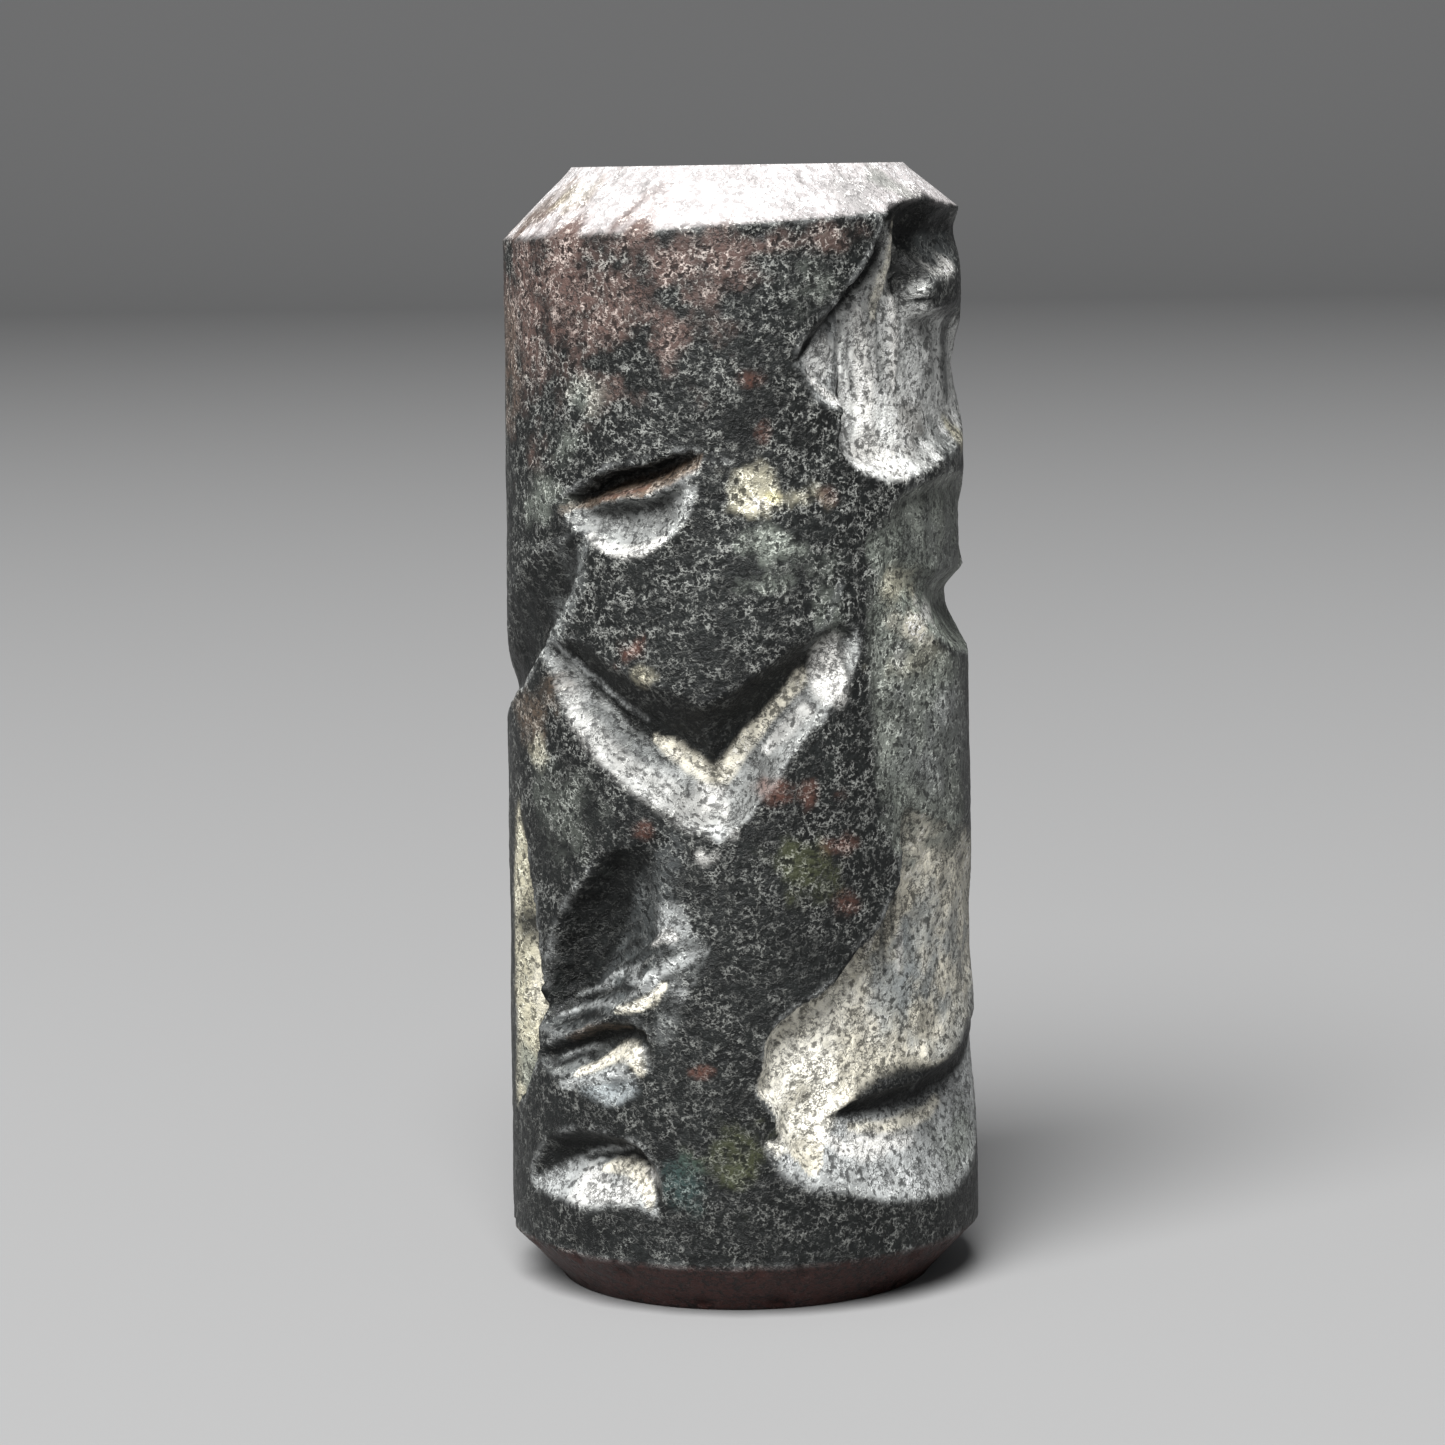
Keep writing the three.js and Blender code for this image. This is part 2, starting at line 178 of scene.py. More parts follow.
# Sunk areas. Each corner is (degrees round, height, width of the wall beside it, depth of the floor
# beyond that wall).
HOLLOWS = {
    "upper_right": dict(
        corners=[(44, 24.2, 0.2, 0.8), (40, 23.7, 0.2, 0.85), (35, 23.0, 0.2, 0.85), (29.5, 22.4, 0.2, 0.75),
                 (27, 21.4, 0.35, 0.75), (28, 20.4, 0.3, 0.8), (27, 19.6, 0.2, 0.8), (27.5, 18.9, 0.3, 0.7),
                 (37, 18.35, 0.8, 0.7), (50, 18.4, 0.7, 0.6), (62, 18.6, 0.7, 0.5), (80, 19.0, 0.6, 0.4),
                 (98, 19.5, 0.8, 0.15), (108, 20.6, 0.8, 0.06), (96, 21.6, 0.8, 0.2),
                 (80, 22.0, 0.5, 0.4), (62, 22.0, 0.4, 0.55),
                 (60, 22.1, 0.4, 0.7), (58, 22.9, 0.4, 0.8), (55, 23.9, 0.3, 0.8)],
        colour="light"),
    "upper_step": dict(
        corners=[(32, 22.6, 0.25, 0.7), (24, 22.0, 0.3, 0.5), (15, 21.2, 0.4, 0.25), (17, 20.4, 0.6, 0.25),
                 (23, 20.0, 0.5, 0.4), (32, 20.1, 0.3, 0.65)],
        colour="grey"),
    "right_hip": dict(
        corners=[(38, 17.6, 0.7, 0.2), (46, 18.2, 0.5, 0.35), (60, 18.35, 0.4, 0.35), (80, 18.4, 0.4, 0.35),
                 (98, 18.0, 0.8, 0.12), (108, 17.0, 0.8, 0.06), (98, 15.9, 0.8, 0.15),
                 (80, 15.3, 0.9, 0.4), (55, 15.6, 1.0, 0.35),
                 (40, 16.2, 0.9, 0.2), (35, 16.8, 0.7, 0.15)],
        colour="moss"),
    "right_side": dict(
        corners=[(33, 16.6, 0.5, 0.12), (32, 14.0, 0.4, 0.15), (34, 12.4, 0.4, 0.2), (39, 11.3, 0.35, 0.25),
                 (40, 10.2, 0.35, 0.3), (60, 10.0, 0.8, 0.2), (78, 10.5, 0.8, 0.04), (80, 13.8, 0.8, 0.04),
                 (60, 14.6, 0.8, 0.15), (44, 16.4, 0.8, 0.15)],
        colour="moss"),
    "skirt": dict(
        corners=[(46, 11.2, 0.3, 0.25), (43, 10.4, 0.2, 0.5), (41, 9.4, 0.18, 0.7), (36, 8.65, 0.18, 0.8),
                 (30, 8.2, 0.18, 0.85), (25, 7.8, 0.18, 0.85), (20, 7.3, 0.2, 0.85), (13, 6.95, 0.2, 0.8),
                 (5.5, 6.45, 0.22, 0.7), (4, 5.7, 0.3, 0.6), (2.5, 5.2, 0.4, 0.6), (6.5, 4.75, 0.4, 0.7),
                 (8.5, 4.1, 0.45, 0.75), (11.5, 3.5, 0.5, 0.75), (17, 3.1, 0.6, 0.8), (23, 3.6, 0.8, 0.8),
                 (30, 4.3, 0.6, 0.75), (45, 4.5, 1.8, 0.65), (60, 4.55, 2.2, 0.55), (72, 4.9, 2.0, 0.35),
                 (85, 5.5, 1.5, 0.18), (98, 6.6, 1.2, 0.08), (102, 8.0, 1.2, 0.06), (90, 9.9, 1.0, 0.1),
                 (72, 10.6, 0.8, 0.15)],
        colour="cream"),
}

# Tool marks left in the cuts: (degrees round, height, half width, half height, angle of the lines, their
# spacing, height of the relief, change of shade).
TOOL_MARKS = [
    (-28, 17.3, 1.8, 0.8, 4, 0.17, 0.014, 0.25),
    (-40, 13.7, 1.9, 0.8, -26, 0.22, 0.020, 0.45),
    (-22, 12.2, 1.6, 0.9, -26, 0.24, 0.012, 0.2),
    (6, 12.7, 1.8, 1.5, 45, 0.24, 0.012, 0.25),
    (-35, 7.3, 2.4, 1.7, 34, 0.34, 0.06, 0.6),
    (-40, 5.5, 1.5, 0.6, 30, 0.2, 0.02, 0.35),
    (-42, 3.7, 2.4, 0.6, 8, 0.22, 0.035, 0.5),
    (38, 20.8, 1.9, 2.6, 80, 0.26, 0.012, 0.35),
    (30, 6.6, 3.2, 2.2, 60, 0.4, 0.010, 0.15),
    (34, 3.6, 2.0, 0.8, -16, 0.16, 0.012, 0.25),
]

# Lines in the cuts: colour, strength, how much deeper the line is than the stone beside it, and its path as
# (degrees round, height, half width). Some are cracks, ridges and streaks of the stone, but the black and
# dark lines are mostly painted shade along walls, undercuts and overhangs that face down, and the pale ones
# along lips and ridges that face up are mostly painted highlights.
LINES = [
    # upper right: painted shadow over the crown notch's dark lobe and along the hollow's left wall
    ("black", 0.95, 0.04, [(62, 24.2, 0.4), (60, 23.6, 0.45), (56, 23.0, 0.42), (53, 22.5, 0.25)]),
    ("black", 0.9, 0.0, [(50, 24.2, 0.2), (62, 24.1, 0.3), (76, 24.0, 0.26), (88, 23.9, 0.15)]),
    ("black", 1.0, 0.10, [(51, 24.2, 0.12), (46.5, 23.45, 0.2), (40.5, 22.75, 0.2), (34.5, 22.4, 0.18),
                          (26, 22.0, 0.15), (21.5, 21.7, 0.12), (18, 21.2, 0.08), (14, 21.0, 0.03)]),
    ("cream", 0.8, -0.06, [(55, 23.9, 0.05), (50.5, 23.1, 0.12), (46, 22.5, 0.17), (43.5, 21.9, 0.1)]),
    ("black", 1.0, 0.08, [(30, 21.0, 0.03), (29.5, 20.4, 0.07), (28.5, 19.8, 0.1), (27.8, 19.2, 0.1),
                          (27.5, 18.9, 0.04)]),
    ("pale", 0.8, -0.03, [(38, 22.0, 0.15), (39, 20.8, 0.24), (39, 19.6, 0.26), (41, 18.9, 0.25),
                          (46, 18.6, 0.2)]),
    ("pale", 0.8, -0.05, [(51, 22.2, 0.14), (51, 21.5, 0.17), (50, 20.9, 0.14), (50, 20.3, 0.08)]),
    ("slate", 0.7, 0.03, [(44.5, 22.2, 0.06), (45, 21.2, 0.09), (45, 20.2, 0.05)]),
    ("slate", 0.7, 0.03, [(34.5, 21.6, 0.04), (35, 20.9, 0.06), (35, 20.2, 0.04)]),
    # painted shade under the ledge
    ("black", 0.95, 0.06, [(58, 22.2, 0.06), (64, 22.1, 0.12), (74, 22.0, 0.2), (88, 21.9, 0.22)]),
    ("dusk", 0.8, 0.0, [(82, 21.8, 0.3), (82, 21.0, 0.35), (82, 20.2, 0.3)]),
    # painted highlight on the step, then painted shade below it
    ("pale", 0.9, -0.02, [(20, 20.55, 0.05), (24, 20.25, 0.1), (28, 20.05, 0.06)]),
    ("black", 0.8, 0.03, [(17, 20.0, 0.06), (22, 19.9, 0.1), (28, 19.85, 0.1)]),
    # chevron: painted highlight on the lower lip, painted shade on the upper wall
    ("pale", 0.25, -0.02, [(-49, 13.85, 0.1), (-44, 13.3, 0.17), (-37, 12.6, 0.2), (-30, 12.15, 0.22),
                           (-22, 11.7, 0.24), (-14, 11.3, 0.28), (-8, 11.0, 0.25), (-2, 10.85, 0.15)]),
    ("skin", 0.85, 0.04, [(-46, 13.95, 0.04), (-40, 13.7, 0.06), (-33, 13.35, 0.07), (-27, 13.15, 0.06)]),
    ("black", 0.9, 0.0, [(-24, 13.8, 0.25), (-16, 13.65, 0.35), (-8, 13.55, 0.35), (0, 13.9, 0.25),
                         (8, 14.7, 0.25), (13, 15.0, 0.2)]),
    ("slate", 0.75, 0.01, [(-43, 13.45, 0.1), (-34, 12.9, 0.17), (-26, 12.5, 0.18), (-19, 12.15, 0.1)]),
    ("grey", 0.7, -0.02, [(-51, 14.9, 0.06), (-47, 14.4, 0.09), (-40, 13.98, 0.08), (-32, 13.6, 0.08),
                          (-26, 13.3, 0.08)]),
    ("black", 0.9, 0.03, [(-47, 14.75, 0.05), (-42, 14.25, 0.07), (-35, 13.85, 0.08), (-28, 13.5, 0.09),
                          (-22, 13.3, 0.08)]),
    ("cream", 0.95, 0.0, [(-24, 12.85, 0.1), (-19, 12.55, 0.2), (-13, 12.2, 0.22), (-8, 12.0, 0.22),
                          (-4, 12.1, 0.22), (0, 12.5, 0.2), (4, 12.9, 0.17), (9, 13.35, 0.16),
                          (14, 13.8, 0.18), (17, 14.15, 0.17)]),
    ("ash", 0.7, 0.02, [(2, 12.15, 0.1), (7, 12.6, 0.14), (12, 13.05, 0.12), (16, 13.45, 0.08)]),
    ("pale", 0.4, -0.01, [(7, 12.55, 0.1), (12, 12.95, 0.14), (18, 13.45, 0.12)]),
    ("pale", 0.6, -0.05, [(22, 14.4, 0.25), (23.5, 13.8, 0.28)]),
    ("black", 0.8, 0.05, [(27.2, 14.9, 0.04), (27.5, 14.2, 0.07), (28, 13.4, 0.05)]),
    ("slate", 0.6, -0.02, [(17, 14.75, 0.08), (22, 15.3, 0.1), (26, 16.2, 0.1)]),
    ("pale", 0.7, 0.0, [(-38, 17.3, 0.07), (-32, 17.0, 0.11), (-25, 16.95, 0.12), (-18, 17.2, 0.08)]),
    ("slate", 0.7, -0.04, [(-41.5, 16.9, 0.2), (-43, 16.3, 0.3), (-47, 15.7, 0.35), (-52, 15.1, 0.32),
                           (-55.5, 14.6, 0.2)]),
    ("slate", 0.7, -0.03, [(-18, 6.9, 0.3), (-19, 6.3, 0.2)]),
    ("cream", 0.9, -0.05, [(-32, 6.85, 0.05), (-27, 7.0, 0.1), (-22, 7.2, 0.12), (-19, 7.45, 0.08)]),
    ("pale", 0.8, -0.04, [(-22, 8.4, 0.05), (-18.5, 8.6, 0.14), (-16, 8.55, 0.08)]),
    ("grey", 0.75, -0.06, [(-24, 7.6, 0.05), (-19, 7.85, 0.14), (-13, 8.1, 0.15), (-8, 8.3, 0.07)]),
    ("grey", 0.6, -0.05, [(-42, 7.35, 0.03), (-34, 7.6, 0.07), (-27, 7.85, 0.05)]),
    ("grey", 0.5, -0.05, [(-52, 6.9, 0.03), (-44, 7.15, 0.06), (-38, 7.3, 0.04)]),
    ("grey", 0.5, -0.05, [(-54, 6.45, 0.03), (-44, 6.8, 0.06), (-34, 6.95, 0.05)]),
    ("umber", 0.8, -0.05, [(-48, 6.0, 0.05), (-40, 6.35, 0.1), (-31, 6.4, 0.06)]),
    ("black", 0.9, 0.05, [(-52, 6.7, 0.03), (-42, 7.05, 0.06), (-34, 7.25, 0.07), (-26, 7.4, 0.06)]),
    ("black", 0.9, 0.05, [(-54, 6.2, 0.03), (-44, 6.55, 0.07), (-34, 6.68, 0.07), (-28, 6.7, 0.05)]),
    ("grey", 0.8, -0.02, [(-49, 5.0, 0.08), (-42, 5.15, 0.13), (-34, 5.4, 0.15), (-27, 5.4, 0.1)]),
    ("cream", 1.0, -0.08, [(-44, 5.3, 0.05), (-39, 5.6, 0.12), (-33, 5.85, 0.17), (-28, 5.9, 0.17),
                           (-25.5, 5.6, 0.12)]),
    ("black", 0.85, 0.04, [(-55, 5.7, 0.05), (-48, 5.9, 0.06), (-42, 6.05, 0.05)]),
    ("grey", 0.6, -0.03, [(-54, 5.5, 0.04), (-48, 5.7, 0.05), (-42, 5.9, 0.05)]),
    ("black", 0.85, 0.04, [(-55, 5.35, 0.05), (-49, 5.5, 0.06), (-43, 5.7, 0.05)]),
    ("cream", 1.0, -0.06, [(-41, 3.15, 0.06), (-35, 3.25, 0.18), (-29, 3.15, 0.2), (-25, 2.85, 0.15),
                           (-23, 2.55, 0.08)]),
    ("black", 0.9, 0.04, [(-48, 3.25, 0.04), (-40, 3.42, 0.06), (-32, 3.5, 0.06), (-26, 3.3, 0.05)]),
    ("grey", 0.7, -0.03, [(-47, 3.4, 0.04), (-40, 3.58, 0.05), (-32, 3.68, 0.05)]),
    ("black", 0.9, 0.04, [(-48, 3.55, 0.04), (-40, 3.75, 0.06), (-32, 3.85, 0.06), (-25, 3.6, 0.06)]),
    # painted shade under the foot's overhang
    ("black", 1.0, 0.06, [(28, 4.42, 0.06), (34, 4.65, 0.32), (42, 4.85, 0.5), (51, 4.85, 0.5),
                          (62, 4.78, 0.42),
                          (70, 4.95, 0.48), (78, 5.25, 0.45), (86, 5.55, 0.36), (94, 5.8, 0.2)]),
    ("slate", 0.6, -0.05, [(56, 4.9, 0.06), (57, 4.55, 0.08)]),
    ("ash", 0.7, 0.0, [(58, 5.35, 0.12), (68, 5.6, 0.3), (78, 5.95, 0.34), (90, 6.3, 0.25)]),
    ("pale", 0.9, -0.03, [(21, 3.95, 0.08), (25, 3.75, 0.14), (29, 3.55, 0.08)]),
    ("cream", 0.8, 0.0, [(30, 4.05, 0.08), (42, 3.95, 0.14), (54, 3.95, 0.16), (66, 4.1, 0.14)]),
    ("slate", 0.6, 0.03, [(28, 3.9, 0.04), (40, 3.72, 0.05), (52, 3.65, 0.05)]),
    ("umber", 0.95, -0.03, [(-42, 18.0, 0.05), (-34, 18.08, 0.09), (-26, 18.26, 0.09), (-17, 18.5, 0.06)]),
    ("rust", 0.5, -0.01, [(-36, 18.02, 0.04), (-28, 18.18, 0.05), (-22, 18.32, 0.04)]),
    ("slate", 0.8, 0.04, [(47.5, 10.4, 0.05), (47, 9.4, 0.08), (46, 8.2, 0.05)]),
    ("slate", 0.8, 0.04, [(42.5, 9.0, 0.06), (42.5, 8.2, 0.1), (43, 7.4, 0.06)]),
    ("pale", 0.7, -0.03, [(48.5, 8.3, 0.06), (48, 7.8, 0.1), (47.5, 7.45, 0.08)]),
    ("pale", 0.6, -0.03, [(41, 8.8, 0.08), (38.5, 8.2, 0.1), (36, 7.9, 0.08)]),
]
EDGE_WOBBLE = 0.06
CUT_EDGE = 0.15  # at this depth a place counts wholly as cut
SIDE_BLEND = 0.16  # over this width the colours of a stroke's two sides run together

# Stains and grains of other minerals: (degrees round, height, half width, half height, colour, strength).
PATCHES = [
    (-62, 22.2, 3.2, 2.5, "maroon", 0.9), (-38, 22.5, 2.8, 1.8, "maroon", 0.85),
    (-8, 23.2, 1.8, 0.7, "maroon", 0.7), (14, 23.5, 1.6, 0.4, "maroon", 0.7),
    (-75, 21.0, 1.2, 1.6, "umber", 0.5), (-50, 21.7, 0.16, 0.16, "rust", 0.8),
    (4, 20.6, 0.36, 0.28, "rust", 0.45), (6, 19.5, 0.2, 0.2, "rust", 0.35),
    (-25, 14.8, 0.55, 0.4, "rust", 0.8), (-24, 14.4, 0.35, 0.25, "sand", 0.8),
    (-23, 10.9, 0.3, 0.25, "rust", 0.4), (8, 11.75, 0.4, 0.25, "rust", 0.5),
    (17, 11.6, 0.25, 0.3, "rust", 0.4), (24, 11.6, 0.25, 0.2, "rust", 0.3),
    (24, 10.5, 0.35, 0.25, "rust", 0.45), (26, 9.2, 0.3, 0.25, "rust", 0.35),
    (-10, 5.6, 0.25, 0.12, "rust", 0.5), (2, 18.65, 0.6, 0.4, "sand", 0.8),
    (0, 18.9, 0.45, 0.3, "grey", 0.8), (7, 18.15, 0.65, 0.35, "sand", 0.9),
    (6, 18.0, 0.3, 0.16, "cream", 0.8), (9, 18.1, 0.3, 0.14, "yellow", 0.6),
    (15, 18.1, 0.6, 0.3, "sand", 0.7), (22, 18.1, 0.3, 0.2, "rust", 0.3),
    (-40, 20.3, 0.6, 0.5, "sage", 0.45), (-45, 19.2, 0.5, 0.5, "sage", 0.4),
    (-55, 17.9, 0.8, 0.5, "sage", 0.55), (18, 22.8, 0.55, 0.6, "sage", 0.45),
    (10, 17.1, 0.75, 0.35, "sage", 0.85), (6, 16.2, 0.5, 0.2, "sage", 0.6),
    (12, 16.3, 0.3, 0.4, "sage", 0.5), (22, 15.9, 0.5, 0.9, "sage", 0.45),
    (14, 10.0, 0.9, 0.6, "olive", 0.45), (-4, 3.3, 0.8, 0.9, "olive", 0.5),
    (-12, 3.0, 0.9, 0.6, "teal", 0.6), (-60, 13.2, 0.9, 0.9, "umber", 0.7),
    (-58, 12.3, 0.5, 0.4, "sand", 0.5), (-50, 11.5, 1.5, 1.2, "sage", 0.25),
    (-9, 10.35, 0.35, 0.2, "pale", 0.6), (68, 18.9, 1.5, 0.5, "slate", 0.9),
    (79, 19.1, 0.4, 0.35, "sand", 0.8), (-17, 8.8, 0.45, 0.5, "grey", 0.75),
    (-21, 7.4, 1.0, 0.32, "grey", 0.75), (-30, 6.9, 1.2, 0.25, "slate", 0.7),
    (-14, 8.0, 0.7, 0.5, "slate", 0.6), (42, 12.0, 0.6, 1.6, "sage", 0.5),
    (66, 12.6, 1.4, 1.6, "slate", 0.6), (50, 14.3, 1.2, 0.5, "sand", 0.35),
    (70, 16.8, 1.4, 0.8, "slate", 0.6), (48, 17.0, 0.6, 0.6, "dusk", 0.6),
    (40, 15.2, 0.5, 0.7, "sage", 0.6), (55, 16.3, 0.8, 0.6, "sage", 0.5),
    (50, 15.1, 0.7, 0.45, "cream", 0.8), (58, 15.3, 0.6, 0.4, "pale", 0.6),
    (47, 16.0, 0.6, 0.4, "sand", 0.7), (42, 17.2, 0.5, 0.5, "sage", 0.7), (60, 14.0, 0.8, 0.5, "sage", 0.7),
    (46, 13.6, 0.5, 0.5, "slate", 0.7), (52, 12.2, 0.35, 0.5, "grey", 0.5),
    (58, 11.4, 0.4, 0.3, "grey", 0.5), (44, 14.5, 0.3, 0.4, "grey", 0.4), (64, 13.2, 0.5, 0.4, "grey", 0.4),
    (-72, 24.3, 1.2, 0.6, "umber", 0.55), (-55, 24.6, 0.8, 0.4, "sand", 0.3),
    (40, 24.6, 0.9, 0.4, "slate", 0.45), (52, 24.8, 0.8, 0.4, "sage", 0.5),
]
# The same, but only in the cuts; the blue patches in the skirt hollow are painted sheen on its floor, not
# stains.
CUT_PATCHES = [
    (24, 14.3, 0.4, 0.55, "pale", 0.7), (38, 20.6, 0.7, 1.4, "pale", 0.5),
    (40, 19.2, 0.7, 0.6, "pale", 0.8), (64, 20.6, 1.2, 1.3, "slate", 0.45),
    (22, 21.1, 0.8, 0.7, "pale", 0.4), (70, 22.8, 1.1, 0.45, "pale", 0.8),
    (-40, 2.6, 1.3, 0.5, "pale", 0.55), (-63, 7.6, 0.6, 1.3, "cream", 0.6),
    (-56, 15.4, 0.7, 0.5, "slate", 0.6), (-9, 11.6, 0.5, 0.6, "pale", 0.6),
    (-25, 3.15, 0.55, 0.35, "pale", 0.7), (-30, 5.85, 0.5, 0.2, "pale", 0.6),
    (-48, 16.6, 0.25, 0.9, "slate", 0.5), (12, 5.4, 1.2, 1.4, "ivory", 1.0),
    (20, 6.9, 1.4, 0.9, "ivory", 0.9), (28, 6.6, 1.2, 0.9, "ivory", 0.6), (16, 4.4, 0.9, 0.7, "ivory", 0.8),
    # blue here: painted sheen in the skirt hollow
    (36, 3.7, 1.3, 0.35, "pale", 0.8), (46, 7.0, 0.8, 1.3, "blue", 0.7), (60, 7.8, 1.4, 1.7, "blue", 0.75),
    (75, 7.5, 1.4, 1.8, "blue", 0.7), (52, 10.6, 1.2, 0.8, "moss", 0.85),
    (68, 10.2, 1.2, 0.9, "moss", 0.85), (48, 12.6, 0.8, 1.3, "slate", 0.6),
    (44, 2.7, 1.2, 0.5, "grey", 0.4), (72, 3.0, 1.2, 0.9, "sage", 0.6), (-72, 8.2, 0.6, 0.5, "skin", 0.8),
    (-70, 4.9, 0.7, 0.6, "sage", 0.7), (54, 19.5, 0.7, 0.7, "umber", 0.3),
]

# Linear colours.
COLOURS = {
    "skin": (0.0065, 0.0075, 0.0072),
    "black": (0.004, 0.0045, 0.0045),
    "grey": (0.30, 0.31, 0.305),
    "light": (0.52, 0.525, 0.505),
    "silver": (0.17, 0.175, 0.17),
    "pale": (0.58, 0.57, 0.54),
    "slate": (0.085, 0.090, 0.088),
    "ash": (0.15, 0.155, 0.15),
    "dusk": (0.032, 0.035, 0.035),
    "cream": (0.56, 0.53, 0.44),
    "ivory": (0.86, 0.83, 0.73),
    "sand": (0.34, 0.32, 0.24),
    "yellow": (0.48, 0.42, 0.17),
    "blue": (0.21, 0.23, 0.235),
    "maroon": (0.085, 0.055, 0.047),
    "rust": (0.115, 0.050, 0.036),
    "olive": (0.060, 0.066, 0.030),
    "moss": (0.135, 0.145, 0.128),
    "sage": (0.15, 0.165, 0.143),
    "teal": (0.030, 0.055, 0.052),
    "umber": (0.085, 0.062, 0.045),
    "clay": (0.042, 0.016, 0.0135),
    # painted sheen laid on the top bevel
    "painted_sheen": (0.42, 0.395, 0.39),
}

# The stone's pattern, in lumps to the millimetre, with small white glints painted into its colour, and the
# strength and height (mm) of its bump.
MOTTLE, CRYSTALS, PITS, FINE, PAINTED_GLINTS = 1.3, 6.5, 4.5, 15.0, 7.0
GRAIN_COLOUR = (0.42, 0.425, 0.395, 1)
PAINTED_GLINT_COLOUR = (0.5, 0.52, 0.5, 1)
BUMP_STRENGTH = 0.9
BUMP_HEIGHT = 0.09

# The uncut skin: broad unevenness, fine grain, and flakes lost from the edges.
SKIN_RELIEF = 0.022
GRAIN_RELIEF = 0.008
CUT_RELIEF = 0.035
WEAR = 0.35
CHIP_COUNT = 110
CHIP_SEED = 7
CHIP_HEIGHTS = (1.25, 1.3, 23.8, 23.9, 25.2, 0.05)

ARC = MIDDLE_RADIUS / SCALE * math.pi / 180
ROUND = 360 * ARC


def smooth(t):
    t = np.clip(t, 0, 1)
    return t * t * (3 - 2 * t)


def in_cut(depth):
    """0 on the skin and 1 in the cuts."""
    return smooth(depth / CUT_EDGE)


def on_top_bevel(z):
    return smooth((z - TOP_RIM) / (0.12 * SCALE))


def on_base_bevel(z):
    return smooth((BASE_BEVEL_RISE - z) / (0.15 * SCALE) + 0.5)


PROFILES = {
    "keen": lambda t: t,
    "round": lambda t: t * (1.5 - 0.5 * t * t),
    "steep": lambda t: 1 - (1 - t) ** 3,
    "soft": smooth,
}


def hashed(ix, iy, iz, seed):
    """A repeatable number from -1 to 1 for each whole-numbered place."""
    h = (ix * 374761393 + iy * 668265263 + iz * 1440662683 + seed * 974634777) & 0xFFFFFFFF
    h = ((h ^ (h >> 13)) * 1274126177) & 0xFFFFFFFF
    return ((h ^ (h >> 16)) & 0xFFFF) / 32767.5 - 1


def noise(points, size, seed):
    """Smooth noise from -1 to 1 with lumps about size across."""
    q = points / size
    cell = np.floor(q).astype(np.int64)
    f = smooth(q - cell)
    total = 0
    for corner in range(8):
        d = np.array([corner & 1, corner >> 1 & 1, corner >> 2 & 1])
        weight = np.prod(np.where(d, f, 1 - f), axis=-1)
        at = cell + d
        total = total + weight * hashed(at[..., 0], at[..., 1], at[..., 2], seed)
    return total


def layered(points, size, seed, layers=3):
    return sum(noise(points, size / 2 ** k, seed + k) / 1.7 ** k for k in range(layers))


def curve_through(points, closed=False, pieces=7):
    """A smooth run of points through the given ones."""
    p = np.array(points, float)
    n = len(p)
    spans = n if closed else n - 1
    out = []
    for i in range(spans):
        if closed:
            a, b, c, d = p[(i - 1) % n], p[i], p[(i + 1) % n], p[(i + 2) % n]
        else:
            a, b, c, d = p[max(i - 1, 0)], p[i], p[i + 1], p[min(i + 2, n - 1)]
        for k in range(pieces):
            t = k / pieces
            out.append(b + 0.5 * t * (c - a + t * (2 * a - 5 * b + 4 * c - d + t * (3 * (b - c) + d - a))))
    if not closed:
        out.append(p[-1])
    return np.array(out)


def across(x, x0):
    """The way round from x0 to x, in arc millimetres, the short way."""
    return (x - x0 + ROUND / 2) % ROUND - ROUND / 2


def beside(x, y, a, b):
    """Share along the stretch from a to b, distance from it, and whether the place is above it."""
    run_x, run_y = across(b[0], a[0]), b[1] - a[1]
    dx, dy = across(x, a[0]), y - a[1]
    along = np.clip((dx * run_x + dy * run_y) / max(run_x * run_x + run_y * run_y, 1e-9), 0, 1)
    off_x, off_y = dx - along * run_x, dy - along * run_y
    return along, np.hypot(off_x, off_y), run_x * dy - run_y * dx > 0


def stroke_depth(stroke, x, y):
    """How deep a stroke is at each place, and how far the place belongs to its upper side."""
    path = np.array(stroke["path"], float) if stroke.get("angular") else curve_through(stroke["path"])
    path[:, 0] *= ARC
    spans = len(path) - 1
    nearest = np.full(x.shape, np.inf)
    upper = np.zeros(x.shape, bool)
    weights = np.zeros_like(x)
    sums = np.zeros((4,) + x.shape)
    for i in range(spans):
        a, b = path[i], path[i + 1]
        along, distance, above = beside(x, y, a, b)
        closer = distance < nearest
        nearest = np.where(closer, distance, nearest)
        upper = np.where(closer, above, upper)
        weight = 1 / (distance ** 2 + 1e-3) ** 3
        weights += weight
        values = (a[2] + (b[2] - a[2]) * along, a[3] + (b[3] - a[3]) * along,
                  a[4] + (b[4] - a[4]) * along, (i + along) / spans)
        for total, value in zip(sums, values):
            total += weight * value
    width_above, width_below, deep, share = sums / weights
    taper = np.sqrt(np.clip(1 - (2 * share - 1) ** 2, 0, 1)) if stroke.get("tapers") else 1.0
    width = np.maximum(np.where(upper, width_above, width_below) * taper, 1e-3)
    t = np.clip(1 - nearest / width, 0, 1)
    shape = np.where(upper, PROFILES[stroke["above"][0]](t), PROFILES[stroke["below"][0]](t))
    belongs = smooth(0.5 + np.where(upper, nearest, -nearest) / SIDE_BLEND)
    return deep * taper * shape, belongs


